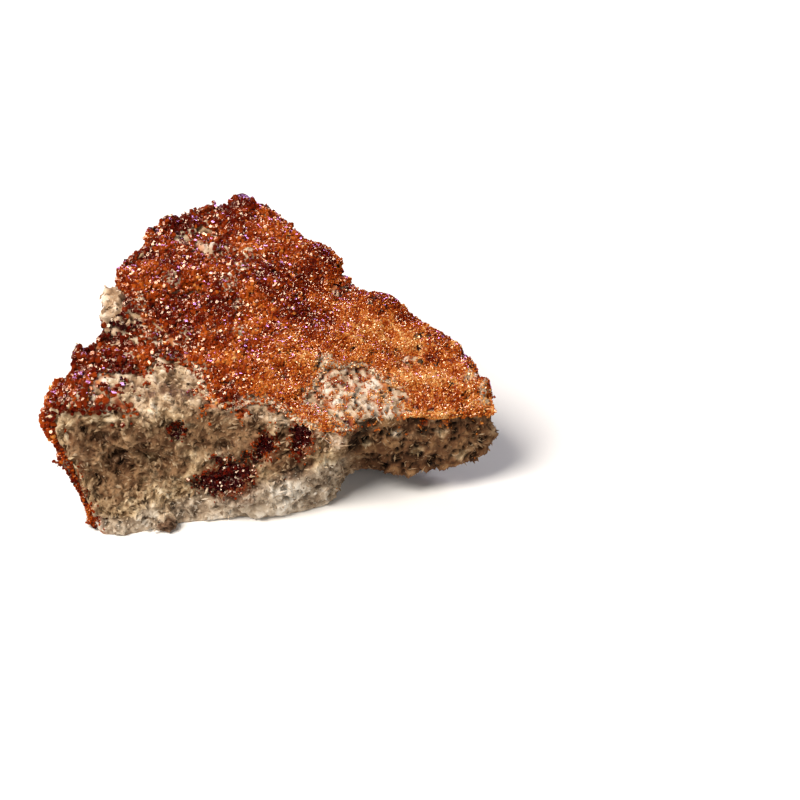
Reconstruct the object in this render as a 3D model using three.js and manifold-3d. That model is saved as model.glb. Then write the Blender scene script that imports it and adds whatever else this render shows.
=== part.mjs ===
// Vanadinite on matrix: a wedge of pale, vuggy host rock, about 97 mm long. A druse, which is a crust of
// small six-sided vanadinite crystals grown together, covers its sloping upper face and its left flank, and
// three pockets in the broken front hold more crystals. Millimetres, +Z up, with the broken front facing -Y.
// The rock rests on its flat underside at z = 0, and the origin is under the middle of its bounding box.

import * as THREE from "three";
import { ConvexHull } from "three/addons/math/ConvexHull.js";
import { ImprovedNoise } from "three/addons/math/ImprovedNoise.js";
import { MeshSurfaceSampler } from "three/addons/math/MeshSurfaceSampler.js";
import { mergeVertices } from "three/addons/utils/BufferGeometryUtils.js";
import Module from "manifold-3d";

const wasm = await Module();
wasm.setup();

// Driving dimensions

// The crystal face is a plane that falls to the right and rises to the back.
const FACE_HEIGHT = 24;
const FACE_RISE_X = -0.207;
const FACE_RISE_Y = 0.383;

// Four blunt blocks make up the rock, as one piece. Corners of a top are x, y and the depth below the
// crystal face, and corners of a foot are x, y and z. A foot below zero is cut off flat at the rest plane.
const FOOT = -3;
const CROWN = {
  top: [
    [-36, 18, 0], [-34.5, 29, 0], [-31, 37, 0], [-26, 46.5, 0], [-19, 51, 0], [-9, 56.6, 0],
    [-5, 59, 0], [-1, 56.5, 0], [6, 51.5, 0], [11.5, 47.5, 0], [16, 43, 0], [21, 37, 0],
    [17, 16, 0], [-25, 16, 0],
  ],
  foot: [
    [-29, 20, FOOT], [-21, 42, FOOT], [-5, 49, FOOT], [9, 42, FOOT], [16, 31, FOOT],
    [15, 14, FOOT], [-24, 12, FOOT],
  ],
};
const FRONT_BLOCK = {
  top: [[-27, 14, 1.5], [-25, 0, 1], [-17, 2, 0], [2, 2, 0], [19, 1, 0], [20, 18, 0], [-10, 24, 0]],
  foot: [
    [-18, -5, FOOT], [-8, -3, FOOT], [3, -1, FOOT], [14, 4, FOOT], [17, 14, FOOT],
    [14, 26, FOOT], [-24, 20, FOOT],
  ],
};
const LEFT_SHOULDER = {
  top: [
    [-46.5, -5, 3], [-41, 5, 3.5], [-38.5, 14, 3.5], [-35, 19, 4], [-26, 1, 1.5],
    [-18, 2, 2], [-37, -2, -0.5],
  ],
  foot: [
    [-35.5, -7, FOOT], [-33, -9, FOOT], [-28, -9, FOOT], [-18, -5, FOOT],
    [-10, 14, FOOT], [-32, 14, FOOT],
  ],
};
const RIGHT_WING = {
  top: [
    [16, 36, 0], [24, 37, 0], [30, 36, 0], [36, 31, 0], [41, 26, 0], [45, 21, 0],
    [51.5, 12.5, 0], [42, 10, 0], [29, 7, 0], [18, 5, 0],
  ],
  foot: [[17, 10, 5], [33, 6, 5], [46, 10, 6], [51, 13, 10], [41, 23, 8], [28, 31, 5]],
};
const BLOCKS = [CROWN, FRONT_BLOCK, LEFT_SHOULDER, RIGHT_WING];

// All blocks reach this point in the middle, from which the whole surface can be seen.
const CORE = new THREE.Vector3(0, 22, 14);
const CORE_RADIUS = 5;

// Facets of the rock's surface: edge splits of an icosahedron, stretched to the rock's proportions and then
// evened out in rounds
const SURFACE_SPLITS = 9;
const SURFACE_STRETCH = new THREE.Vector3(48, 34, 24);
const EVENING_ROUNDS = 80;
const SLANT_LIMIT = 0.4;

// Relief of the broken rock: wavelength and height of its swells
const SWELLS = [
  { wavelength: 19, height: 1.4 },
  { wavelength: 8, height: 1.3 },
];

// Hollows and lumps that stand out: place, radius and height, negative for a hollow
const FEATURES = [
  { at: [-31, -6, 15], radius: 12, height: -2.4 },
  { at: [-12, -2, 17], radius: 8, height: -1.2 },
  { at: [-4, -3, 5], radius: 9, height: 1.4 },
  { at: [33, 6, 13], radius: 11, height: -1.2 },
  { at: [-34, 23, 41], radius: 6, height: 1.2 },
  { at: [-20, 8, 31], radius: 6, height: -0.9 },
  { at: [22, 10, 25], radius: 8, height: -0.8 },
];

// Rock crumbs that stand out of the foot of the front: place and radii
const FOOT_KNOB = { at: new THREE.Vector3(-21.5, -5.6, 1.5), radii: [3, 2.6, 1.8] };

// Open pits in the broken front: place in the front view, radius, and depth as a share of the radius
const PIT_DEPTH = 0.8;
const PIT_FLATNESS = [0.7, 1];
const PITS = [
  { x: -34, z: 22, radius: 2 },
  { x: -31, z: 17, radius: 2.6 },
  { x: -26, z: 21, radius: 2.2 },
  { x: -24, z: 15, radius: 2 },
  { x: -18.5, z: 22.5, radius: 2.4 },
  { x: -9, z: 17.5, radius: 1.8 },
  { x: 13, z: 17, radius: 2 },
  { x: 22, z: 15, radius: 1.9 },
  { x: 28.5, z: 17, radius: 1.7 },
  { x: 33, z: 12, radius: 2 },
  { x: 38.5, z: 16, radius: 2.2 },
  { x: 43, z: 10, radius: 1.9 },
];

// Crystal crust: thickness over the rock, depth to which its sheet dives at its edge, clearance to the rock
const CRUST_THICKNESS = 1.6;
const CRUST_LUMPS = { wavelength: 6, height: 1.8 };
const CRUST_DIVE = 1;
const CLEARANCE = 0.35;
const CRUST_UP = 0.4;
const CRUST_FRONT = -0.87;
const FLANK_FACING = -0.6;
const FLANK_BACK = 15;

// Bare patches that the crust leaves open: middle and radii in plan
const BARE_PATCHES = [
  { at: [-20, 3], radii: [10, 7] },
  { at: [1, 2], radii: [4.5, 4] },
  { at: [20, 11], radii: [9.5, 6.5] },
  { at: [-30, 18], radii: [5, 1.5] },
  { at: [-34.5, 22.5], radii: [3, 4] },
  { at: [-14.5, 41], radii: [3.5, 3] },
];

// The largest crystals of the crust: six-sided, stout and leaning, coarse on the left and fine on the right
const CRYSTAL_COUNT = 100;
const COARSE_CRYSTAL = 2.7;
const FINE_CRYSTAL = 1.8;
const CRYSTAL_SPREAD = [0.8, 1.1];
const COARSE_UNTIL_X = -30;
const FINE_FROM_X = 25;
const CRYSTAL_LEAN = 1.1;
const CRYSTAL_STOUTNESS = 1.1;
const CRYSTAL_SINK = 0.15;

// Crystal pockets in the front: place in the front view, radii, turn about the Y axis, number of crystals
const POCKETS = [
  { name: "vug_crystals_lower", x: -8.3, z: 10.3, radii: [6.2, 4.6, 2.9], turn: -0.25, crystals: 9 },
  { name: "vug_crystals_middle", x: 0.3, z: 17.5, radii: [2.1, 3.4, 3.2], turn: 0.35, crystals: 5 },
  { name: "vug_crystals_cleft", x: 8.3, z: 18.8, radii: [2.1, 4, 4.8], turn: 0.15, crystals: 6 },
];
const POCKET_LINING = 1.1;
const POCKET_CRYSTAL = 1.5;

// Edge of a box that holds the whole specimen with room to spare
const ROOM_SIZE = 300;

// Colours and finish
const LOOKS = {
  matrix: { color: 0x9c7f63, roughness: 0.85, metalness: 0 },
  crust: { color: 0x8f3f22, roughness: 0.25, metalness: 0 },
  pocket: { color: 0x5a1d12, roughness: 0.25, metalness: 0 },
};

// Helpers

const noise = new ImprovedNoise();

function swell(point, { wavelength, height }) {
  return height * noise.noise(point.x / wavelength, point.y / wavelength, point.z / wavelength);
}

// A repeatable random number from 0 to 1, by a linear congruential step
let seed = 7;
function random() {
  seed = (seed * 1664525 + 1013904223) % 4294967296;
  return seed / 4294967296;
}

function between(low, high) {
  return low + (high - low) * random();
}

function faceHeight(x, y) {
  return FACE_HEIGHT + FACE_RISE_X * x + FACE_RISE_Y * y;
}

function toSolid(geometry) {
  const bare = geometry.clone();
  bare.deleteAttribute("normal");
  bare.deleteAttribute("uv");
  const merged = mergeVertices(bare);
  const vertProperties = new Float32Array(merged.attributes.position.array);
  const triVerts = new Uint32Array(merged.index.array);
  return new wasm.Manifold(new wasm.Mesh({ numProp: 3, vertProperties, triVerts }));
}

function toGeometry(solid) {
  const { vertProperties, triVerts } = solid.getMesh();
  const geometry = new THREE.BufferGeometry();
  geometry.setAttribute("position", new THREE.BufferAttribute(vertProperties, 3));
  geometry.setIndex(new THREE.BufferAttribute(triVerts, 1));
  return geometry;
}

function largestBody(solid) {
  const bodies = solid.decompose();
  bodies.sort((a, b) => b.volume() - a.volume());
  return bodies[0];
}

function ellipsoid(at, radii, turn, splits) {
  const geometry = new THREE.IcosahedronGeometry(1, splits);
  geometry.scale(...radii);
  geometry.rotateY(turn);
  geometry.translate(at.x, at.y, at.z);
  return toSolid(geometry);
}

// A stout six-sided crystal with flat ends, standing along a direction from a middle point
function crystal(middle, direction, width) {
  const geometry = new THREE.CylinderGeometry(width / 2, width / 2, width * CRYSTAL_STOUTNESS, 6);
  geometry.rotateY(between(0, Math.PI));
  const stand = new THREE.Quaternion().setFromUnitVectors(new THREE.Vector3(0, 1, 0), direction);
  geometry.applyQuaternion(stand);
  geometry.translate(middle.x, middle.y, middle.z);
  return toSolid(geometry);
}

function leaning(normal, lean) {
  const sideways = new THREE.Vector3(between(-1, 1), between(-1, 1), between(-1, 1));
  return normal.clone().addScaledVector(sideways, lean).normalize();
}

// Rock surface

function blockHull({ top, foot }) {
  const corners = top.map(([x, y, depth]) => new THREE.Vector3(x, y, faceHeight(x, y) - depth));
  foot.forEach((corner) => corners.push(new THREE.Vector3(...corner)));
  const core = new THREE.OctahedronGeometry(CORE_RADIUS).attributes.position;
  for (let i = 0; i < core.count; i += 1) {
    corners.push(new THREE.Vector3().fromBufferAttribute(core, i).add(CORE));
  }
  return new ConvexHull().setFromPoints(corners);
}

// For each corner of a geometry, the corners that share an edge with it
function neighboursOf(geometry) {
  const { index, attributes } = geometry;
  const neighbours = Array.from({ length: attributes.position.count }, () => new Set());
  for (let i = 0; i < index.count; i += 3) {
    const facet = [index.getX(i), index.getX(i + 1), index.getX(i + 2)];
    facet.forEach((corner) => facet.forEach((other) => neighbours[corner].add(other)));
  }
  return neighbours;
}

// Faceted skin of the joined blocks, and for each of its corners the way out to it from the core
function blockSkin() {
  const hulls = BLOCKS.map(blockHull);
  const ball = new THREE.IcosahedronGeometry(1, SURFACE_SPLITS);
  ball.deleteAttribute("normal");
  ball.deleteAttribute("uv");
  const skin = mergeVertices(ball);
  const position = skin.attributes.position;
  const neighbours = neighboursOf(skin);
  const exit = new THREE.Vector3();
  const pointAt = (i) => new THREE.Vector3().fromBufferAttribute(position, i);
  let ways = neighbours.map((_, i) => pointAt(i).multiply(SURFACE_STRETCH).normalize());
  for (let round = 0; round < EVENING_ROUNDS; round += 1) {
    ways.forEach((way, i) => {
      const ray = new THREE.Ray(CORE, way);
      const reach = Math.max(...hulls.map((hull) => hull.intersectRay(ray, exit).distanceTo(CORE)));
      ray.at(reach, exit);
      position.setXYZ(i, exit.x, exit.y, exit.z);
    });
    if (round === EVENING_ROUNDS - 1) break;
    ways = neighbours.map((around) => {
      const sum = new THREE.Vector3();
      around.forEach((i) => sum.add(pointAt(i)));
      return sum.divideScalar(around.size).sub(CORE).normalize();
    });
  }
  skin.computeVertexNormals();
  return { skin, ways };
}

// A copy of a skin moved outward by a height that a function of place and normal gives
function raised({ skin, ways }, heightAt) {
  const geometry = skin.clone();
  const position = geometry.attributes.position;
  const point = new THREE.Vector3();
  const normal = new THREE.Vector3();
  for (let i = 0; i < position.count; i += 1) {
    point.fromBufferAttribute(skin.attributes.position, i);
    normal.fromBufferAttribute(skin.attributes.normal, i);
    const slant = Math.max(SLANT_LIMIT, normal.dot(ways[i]));
    point.addScaledVector(ways[i], heightAt(point, normal) / slant);
    position.setXYZ(i, point.x, point.y, point.z);
  }
  geometry.computeVertexNormals();
  return { skin: geometry, ways };
}

function relief(point) {
  const swells = SWELLS.reduce((sum, part) => sum + swell(point, part), 0);
  return FEATURES.reduce((sum, { at, radius, height }) => {
    const distance = point.distanceTo(new THREE.Vector3(...at)) / radius;
    return sum + height * (1 - THREE.MathUtils.smoothstep(distance, 0, 1));
  }, swells);
}

// Everything above the rest plane, raised by a margin
function above(margin) {
  const room = new THREE.BoxGeometry(ROOM_SIZE, ROOM_SIZE, ROOM_SIZE);
  room.translate(0, 0, ROOM_SIZE / 2 + margin);
  return toSolid(room);
}

const stone = raised(blockSkin(), relief);
const wholeRock = toSolid(stone.skin).intersect(above(0));

// The point of the broken front at x and z
function onFront(x, z) {
  const raycaster = new THREE.Raycaster(new THREE.Vector3(x, -ROOM_SIZE / 2, z), new THREE.Vector3(0, 1, 0));
  return raycaster.intersectObject(new THREE.Mesh(stone.skin))[0].point;
}

// Matrix

function buildMatrix() {
  const knob = ellipsoid(FOOT_KNOB.at, FOOT_KNOB.radii, 0, 1).intersect(above(0));
  let rock = wholeRock.add(knob);
  for (const { x, z, radius } of PITS) {
    const radii = [radius, radius * PIT_DEPTH, radius * between(...PIT_FLATNESS)];
    rock = rock.subtract(ellipsoid(onFront(x, z), radii, between(0, Math.PI), 0));
  }
  for (const { x, z, radii, turn } of POCKETS) {
    rock = rock.subtract(ellipsoid(onFront(x, z), radii, turn, 1));
  }
  return largestBody(rock);
}

// Druse

function isCrusted(point, normal) {
  const onFace = normal.z > CRUST_UP && normal.y > CRUST_FRONT;
  const onFlank = normal.x < FLANK_FACING && point.y < FLANK_BACK;
  const isBare = BARE_PATCHES.some(({ at, radii }) => {
    return Math.hypot((point.x - at[0]) / radii[0], (point.y - at[1]) / radii[1]) < 1;
  });
  return onFlank || (onFace && !isBare);
}

function crustHeight(point, normal) {
  return isCrusted(point, normal) ? CRUST_THICKNESS + swell(point, CRUST_LUMPS) : -CRUST_DIVE;
}

function buildDruse() {
  const sheet = raised(stone, crustHeight).skin;
  const sampler = new MeshSurfaceSampler(new THREE.Mesh(sheet)).setRandomGenerator(random).build();
  const point = new THREE.Vector3();
  const normal = new THREE.Vector3();
  let crust = toSolid(sheet);
  let placed = 0;
  while (placed < CRYSTAL_COUNT) {
    sampler.sample(point, normal);
    if (!isCrusted(point, normal)) continue;
    const fineness = THREE.MathUtils.smoothstep(point.x, COARSE_UNTIL_X, FINE_FROM_X);
    const width = THREE.MathUtils.lerp(COARSE_CRYSTAL, FINE_CRYSTAL, fineness) * between(...CRYSTAL_SPREAD);
    point.addScaledVector(normal, -CRYSTAL_SINK * width);
    crust = crust.add(crystal(point, leaning(normal, CRYSTAL_LEAN), width));
    placed += 1;
  }
  const grownRock = toSolid(raised(stone, () => CLEARANCE).skin);
  return largestBody(crust.subtract(grownRock).intersect(above(CLEARANCE)));
}

// Crystal pockets

function buildPocket({ x, z, radii, turn, crystals }) {
  const middle = onFront(x, z);
  const lessBy = (amount) => radii.map((radius) => radius - amount);
  const wall = ellipsoid(middle, lessBy(CLEARANCE), turn, 1);
  const hollowMiddle = middle.clone();
  hollowMiddle.y -= POCKET_LINING;
  let lining = wall.subtract(ellipsoid(hollowMiddle, lessBy(POCKET_LINING + CLEARANCE), turn, 0));
  for (let i = 0; i < crystals; i += 1) {
    const way = new THREE.Vector3(between(-1, 1), between(0.1, 1), between(-1, 1)).normalize();
    const root = way.clone().multiply(new THREE.Vector3(...lessBy(POCKET_LINING)));
    root.applyAxisAngle(new THREE.Vector3(0, 1, 0), turn).add(middle);
    const seated = crystal(root, leaning(way.negate(), CRYSTAL_LEAN), POCKET_CRYSTAL);
    lining = lining.add(seated.intersect(wall));
  }
  return largestBody(lining.intersect(wholeRock));
}

// Assembly

function piece(name, solid, look) {
  const mesh = new THREE.Mesh(toGeometry(solid), new THREE.MeshStandardMaterial(look));
  mesh.name = name;
  return mesh;
}

const specimen = new THREE.Group();
specimen.add(piece("matrix", buildMatrix(), LOOKS.matrix));
specimen.add(piece("vanadinite_druse", buildDruse(), LOOKS.crust));
POCKETS.forEach((pocket) => specimen.add(piece(pocket.name, buildPocket(pocket), LOOKS.pocket)));

const middle = new THREE.Box3().setFromObject(specimen).getCenter(new THREE.Vector3());
specimen.position.set(-middle.x, -middle.y, 0);

export default specimen;
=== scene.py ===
# Vanadinite on matrix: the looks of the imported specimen, in metres, in the frame of its solids.
# The host rock gets its flaky, pitted break, and the crust gets its thousands of six-sided crystals.

import math

import bpy
import numpy as np
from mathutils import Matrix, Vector, noise
from mathutils.bvhtree import BVHTree
from mathutils.kdtree import KDTree


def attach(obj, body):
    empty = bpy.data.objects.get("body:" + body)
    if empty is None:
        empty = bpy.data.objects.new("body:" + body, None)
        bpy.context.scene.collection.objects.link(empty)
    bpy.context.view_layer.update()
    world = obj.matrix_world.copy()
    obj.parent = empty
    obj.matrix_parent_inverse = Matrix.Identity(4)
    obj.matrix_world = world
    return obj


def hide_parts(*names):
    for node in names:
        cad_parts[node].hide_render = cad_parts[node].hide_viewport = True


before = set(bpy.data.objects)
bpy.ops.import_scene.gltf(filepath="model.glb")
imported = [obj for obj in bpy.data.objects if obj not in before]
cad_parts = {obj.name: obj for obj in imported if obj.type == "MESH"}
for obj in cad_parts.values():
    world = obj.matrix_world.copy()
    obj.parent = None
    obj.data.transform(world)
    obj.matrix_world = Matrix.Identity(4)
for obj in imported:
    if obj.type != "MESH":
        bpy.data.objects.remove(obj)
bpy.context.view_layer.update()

MM = 0.001

# One seed for the random draws and the noise, so that each run gives the same specimen
SEED = 11
rng = np.random.default_rng(SEED)
noise.seed_set(SEED)

# View: the camera looks along +Y and down, and shows AIM at AIM_PIXEL of a square frame
FRAME_PIXELS = 800
AIM_PIXEL = (270, 365)
AIM = Vector((-2.04, 3.32, 21.0)) * MM
CAMERA_ELEVATION = math.radians(32)
CAMERA_DISTANCE = 0.5
LENS_MM = 100
SENSOR_MM = 36
FLOOR_REACH = 2.0

# All lengths from here to the end of the patterns are in millimetres.
# A pair for waves, such as lumps, clouds or a ragged border, is their length and their height either way.
# A pair for a border is where something starts and where it is full.

# Host rock: face size of its fine mesh, rounds of smoothing, and the relief of its break
ROCK_FACE, ROCK_SMOOTHINGS = 0.45, 6
ROCK_LUMPS = (6, 0.9)
GRIT = (0.9, 0.3)

# Small tilted faces of the break: size and steepness of each kind, and a factor that mixes their tilts
BROKEN_FACES = ((2.9, 2.2), (1.4, 1.4))
TILT_MIXER = 7.3

# The rock has no relief at the ground, and is sunk a little where it is nearer to the crust than BARE_FROM
GROUND_BORDER = (0.0, 1.2)
BARE_FROM, BURIED_DEPTH = 1.1, 0.15

# Distances from the crust and the pockets are measured no farther than this
LONGEST_REACH = 6.0

# Net of small pits: cell size, depth, share of the cells that are open, walls between them and their bends,
# a factor that mixes the cells, and how dark the painted shade in the pits is, also on the wing and the
# terrace
PIT_SPACING, PIT_DEPTH = 1.6, 1.0
PIT_SHARE, WING_PIT_SHARE, TERRACE_PIT_SHARE = 0.2, 0.55, 0.35
PIT_WALL, PIT_WALL_RAGGED = (0.05, 0.4), (0.8, 0.1)
PIT_BEND_LENGTH, PIT_BEND = 1.6, 0.7
PIT_MIXER = 5.1
PIT_SHADE, WING_PIT_SHADE = 0.5, 1.0

# Wing at the right: its border in X, the brown painted shade of its steep sides, and its lower relief
WING_X, WING_RAGGED = (11, 18), (5, 3)
WING_PAINTED_SHADE, WING_RELIEF = 0.92, 0.7

# Chips of the break: spacing, how much their sizes vary, and length, width and thickness, with factors of
# these three on the wing and on the lip
CHIP_SPACING, CHIP_VARIETY, LARGEST_CHIP = 0.7, 0.35, 1.6
CHIP_LENGTH, CHIP_WIDTH, CHIP_THICKNESS = (0.6, 1.6), (0.3, 0.65), (0.25, 0.5)
WING_CHIP, LIP_CHIP = np.array((1.1, 0.55, 0.6)), np.array((2.2, 1.0, 1.0))

# How chips lie: alike within a patch, scattered, rolled, and nearly flat on the rock
CHIP_PATCH, CHIP_SCATTER, CHIP_ROLL, CHIP_FLATNESS = 5.0, 0.35, 0.4, 0.75

# Where chips lie: over the ground, not on an underside, and clear of the crust or on its barest ground
CHIP_LOW_Z, CHIP_LEAST_UPWARD, CHIP_FROM_CRUST, CHIP_BAREST = 0.8, -0.3, 0.8, 0.5

# Tones of chips: their share of the rock's stain and painted shade, and their light and dark
CHIP_STAIN_AND_SHADE = (0.55, 1.0)
CHIP_TONE_SPREAD, CHIP_TONES = 0.5, (-0.9, 0.5)

# Form of a chip: a double pyramid with four sides, one unit in each direction, with ragged corners
CHIP_RAGGEDNESS = 0.09
CHIP_FORM = np.array([(0.5, 0, 0), (0, 0.5, 0), (-0.5, 0, 0), (0, -0.5, 0), (0, 0, 0.5), (0, 0, -0.5)])
CHIP_FACES = [(a, (a + 1) % 4, 4) for a in range(4)] + [((a + 1) % 4, a, 5) for a in range(4)]

# A spot is a middle and a radius, and its border is in shares of the radius
SPOT_BORDER, SPOT_RAGGED = (0.6, 1.15), (1.4, 0.45)

# Iron-stained spots of the front, the slope over it and the foot, and last of the back
BROWN_SPOTS = (
    (-33, -30, 15, 9), (-22, -29, 15, 6), (-14, -26, 21, 7), (-6, -25, 21, 6), (-9, -27, 11, 7),
    (3, -25, 16, 7), (-39, -28.5, 20, 6), (-31, -27.2, 19.5, 6.5), (-24, -26.5, 18.5, 5),
    (-22, -20.6, 29.2, 2.2), (-26, -22.8, 29.3, 1.8), (-18.5, -21.5, 28.5, 2.0), (-28.5, -15, 31.5, 2.2),
    (-23, -32, 1.5, 2.5),
    (-21, 21, 13, 6), (-8, 27, 27, 8), (4, 24, 13, 7), (-28, 15, 30, 5))
BROWN_SPOT_STAIN = 0.85

# Hollows with red crystals that are too small to be pockets of their own, sunk and darkened with painted
# shade
RED_HOLLOWS = (
    (-20.4, -24.5, 21.8, 2.4), (-16.5, -26.7, 9, 2.2), (-5.1, -26.1, 14.9, 2.2), (-12, -26.6, 14.5, 2.2),
    (5.3, -25.2, 14.2, 1.9))
RED_HOLLOW_DEPTH, RED_HOLLOW_SHADE = 0.9, 0.8

# Hollows beside the lip and in the wing's front, sunk and darkened with painted shadow
DARK_HOLLOWS = (
    (19.6, -20.3, 18.8, 2.2), (21.8, -19, 20.5, 1.8), (18.1, -20.2, 16.2, 2.0), (16.7, -19, 13.3, 2.0),
    (31.6, -15.9, 18.6, 1.8), (32.5, -16.2, 15.6, 1.8))
DARK_HOLLOW_DEPTH, DARK_HOLLOW_SHADE = 0.8, 0.75

# Walls of the pockets, darkened with painted shade
POCKET_WALL, POCKET_WALL_SHADE = 1.2, 0.6

# Pale block of rock that stands out under the terrace
LIP = ((12.5, -24, 19.5, 3.8),)
LIP_PALE = 0.8

# Upper side of the rock, pale in clouds: from which height and how far it has to face up
# Its paleness is partly the rock's own pale colour and partly painted light on the faces that look up
UPPER_LOW_Z, UPWARD = 15, (0.1, 0.6)
UPPER_PALE, TERRACE_PALE, PALE_CLOUDS = 0.5, 0.75, (3, 0.35)

# Crown: the rock behind CROWN_Y, which the crust covers but for its pale spots
CROWN_Y, CROWN_LEAST_UPWARD = 8, 0.4
# Crown spots are raised, and painted brighter as painted light against the shade of the crystals round them
CROWN_SPOT_HEIGHT, CROWN_SPOT_BRIGHTER = 1.2, 0.6

# Clean, pale foot of the front: its upper line rises to the right from FOOT_LINE_X on
FOOT_LINE_X, FOOT_LINE_Z, FOOT_LINE_SLOPE, FOOT_LINE_RUN = -23, 4.5, 0.25, 26
FOOT_BORDER, FOOT_RAGGED, FOOT_CLEAN = (-1.5, 1.5), (5, 2), 0.85

# Bare, speckled terrace at the middle of the front rim: middle in plan and radii, border in shares of them
TERRACE_MIDDLE, TERRACE_RADII, TERRACE_BORDER = (18, -13.7), (9.5, 6.5), (0.8, 1.2)
TERRACE_LOW_Z = 18
TERRACE_RISE, TERRACE_RISE_BORDER = 0.6, (1.0, 3.0)
TERRACE_BRIGHTER = 0.4
TERRACE_RIM, TERRACE_RIM_THINNING = 1.6, 0.4

# Mounds that stand out of the upper rim, and the bare knob to its left: middle, radius and height
MOUND_SLOPE = (0.2, 1.0)
MOUNDS = (
    ((-9.5, 33, 48), 5.5, 3.2), ((-25.4, 23, 47.5), 3, 2.4), ((19.5, 11.5, 34.5), 8, 2.2),
    ((13, 17.5, 37.5), 4.5, 2.0), ((9, 20.5, 39), 7, 1.8), ((25, 8.5, 32), 6, 1.6),
    ((31, 5, 29.8), 6, 1.8), ((36.5, 1.2, 27.5), 6, 1.8), ((41.5, -2, 25.5), 6, 1.9),
    ((45.5, -6.5, 23.5), 5, 1.6))
KNOB = (((-34.5, 1.5, 40.5), 4.5, 2.6),)

# Bare side of the knob, and the strip at its foot that crystals cover
KNOB_MIDDLE, KNOB_RADIUS, KNOB_BORDER = (-39, -1.5, 40), 6.5, (0.75, 1.05)
KNOB_FOOT_X, KNOB_FOOT_Y, KNOB_FOOT_Z = -20, (-9, -4.5), (31, 36.8)
KNOB_PALE = 0.75

# Clumps of crystals and red dust on the rock, closer and larger on the terrace
CLUMP_LENGTH, TERRACE_CLUMP_LENGTH = 2.6, 1.5
CLUMP_BORDER, TERRACE_CLUMP_GROWTH = 0.3, 0.1

# Red dust on the rock: how far it reaches from the crust and the pockets, and how dense it is
CRUST_DUST_REACH, POCKET_DUST_REACH = 2.0, 1.2
POCKET_DUST, TERRACE_DUST, LIP_DUST = 0.8, 0.8, 0.6

# Crust: face size of its sheet, how far this stays under the crystal tips and reaches into the rock, its
# lowest height, and how far under the broken rock it still counts as open
SHEET_FACE, SHEET_SMOOTHINGS = 0.66, 4
SHEET_SINK, SHEET_OVERLAP = 0.4, 0.6
SHEET_LOW_Z, SHEET_OPEN_FROM = 0.1, -0.1

# Sides of the sheet, by the cosine between it and the rock, and its edge on the upper side of the rock
OUTER_SIDE, INNER_SIDE = (0.0, 0.35), (-0.7, -0.4)
EDGE_LEAST_UPWARD = 0.45
EDGE_WIDTH, EDGE_THINNING = 3.5, 1.0

# Front edge, along which the crust fades into pale rock, on the left side only near the front
FADE_WIDTH, FADE_RAGGED = (0.4, 3.0), (1.8, 1.5)
FADE_START_X, FADE_END_X = (-30, -25), (24, 30)
FADE_END_Y, FADE_LEFT_SHIFT = (2, 6), 17
SHOULDER_FRONT_Y, SHOULDER_FRONT_Z = (-26, -22), 27

# Relief of the crust: ridges, lumps, bumps where it is pale, and dark specks
RIDGE_LENGTH, RIDGE_SPACING, RIDGE_HEIGHT = 14, 4.5, 1.1
CRUST_LUMPS = (2.4, 0.6)
DEEPEST_VALLEY = 0.5
PALE_BUMPS, PALE_SPOT_LIFT = (1.5, 0.5), 0.5
SPECKS, SPECK_RADIUS, SPECK_DEPTH, SPECK_OUTER_SIDE = 240, 0.85, 0.8, 0.9

# Left flank, where the crust is thin, and left shoulder, where its crystals are large and dark
FLANK_X, FLANK_Z, FLANK_THINNING, FLANK_FINENESS = -25, (18, 26), 0.9, 0.8
SHOULDER_X, SHOULDER_Y, SHOULDER_GROWTH, SHOULDER_DARKER = (-30, -25), (-6, -2), 0.3, 0.06

# Spots of the crust: middle in plan and radius
PALE_SPOTS = (
    (-16.5, 17.9, 2.7), (-6.5, 15.9, 1.8), (-9, 12, 2.2), (-11, 7.2, 2.5), (-23.1, 4.6, 2.2),
    (-8.8, 2.9, 1.5), (-19.6, -6.8, 1.9), (-7.8, -3.8, 1.8), (11.5, -8.6, 2.0), (42.7, -6.7, 1.6),
    (45.9, -9.9, 2.0), (-31, -12, 1.6), (-30, -3.6, 2.6), (-43, -29.6, 2.2), (-39.5, -28.6, 2.4),
    (-36, -27, 2.4), (-33, -25.5, 2.2))
DARK_SPOTS = (
    (-0.7, 9.8, 5), (3.2, 4.7, 4), (-12.1, 3.2, 4.5), (-9, 31, 5), (-33, -6, 5), (-32, -19, 5), (8, 17, 5),
    (-22, 24, 5), (16, 13, 5), (9, 1, 4), (24, 9, 4.5), (30, 6, 4.5), (36, 2.5, 4.5), (42, -2, 4.5),
    (46, -6, 3.5))

# Tone of the crust, from 0 to 1: how dark it is at the upper left, and what lightens and darkens it
DARK_SIDE_TONE, PALE_SIDE_LIFT, PALE_SIDE, PALE_SIDE_SLOPE = 0.285, 0.4, (-24, 34), 0.6
# TONE_LUMPS and RIDGE_TONE follow the relief of the crust and darken its valleys: painted shade
TONE_CLOUDS, TONE_LUMPS, RIDGE_TONE = (6.5, 0.16), (CRUST_LUMPS[0], 0.22), 0.2
# GROUND_DARKER is painted shade on the ground between the crystals
DARK_SPOT_TONE, GROUND_DARKER = 0.25, 0.25
DARKEST_CRYSTAL, DARKEST_GROUND = 0.12, 0.06
TONE_SPREAD, FINE_TONE_SPREAD = 0.09, 0.06
HONEY_SHARE, HONEY_LIFT = 0.03, 0.3

# Crystals: widths, most of them near the low end, where they turn fine, and length over width
COARSE_SIZE, FINE_SIZE, SMALL_BIAS = (0.46, 1.15), (0.32, 0.52), 2.2
FINE_SIDE, FINE_SIDE_SLOPE = (-24, 16), 0.35
CRYSTAL_LENGTH = (0.6, 1.3)

# Seats that are tried for crystals, spacing in widths, lowest height, and how bare the ground may be
CRYSTAL_SEATS, CRYSTAL_SPACING, CRYSTAL_LOW_Z, BAREST_SEAT = 160000, 0.68, 1.2, 1.18

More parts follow.
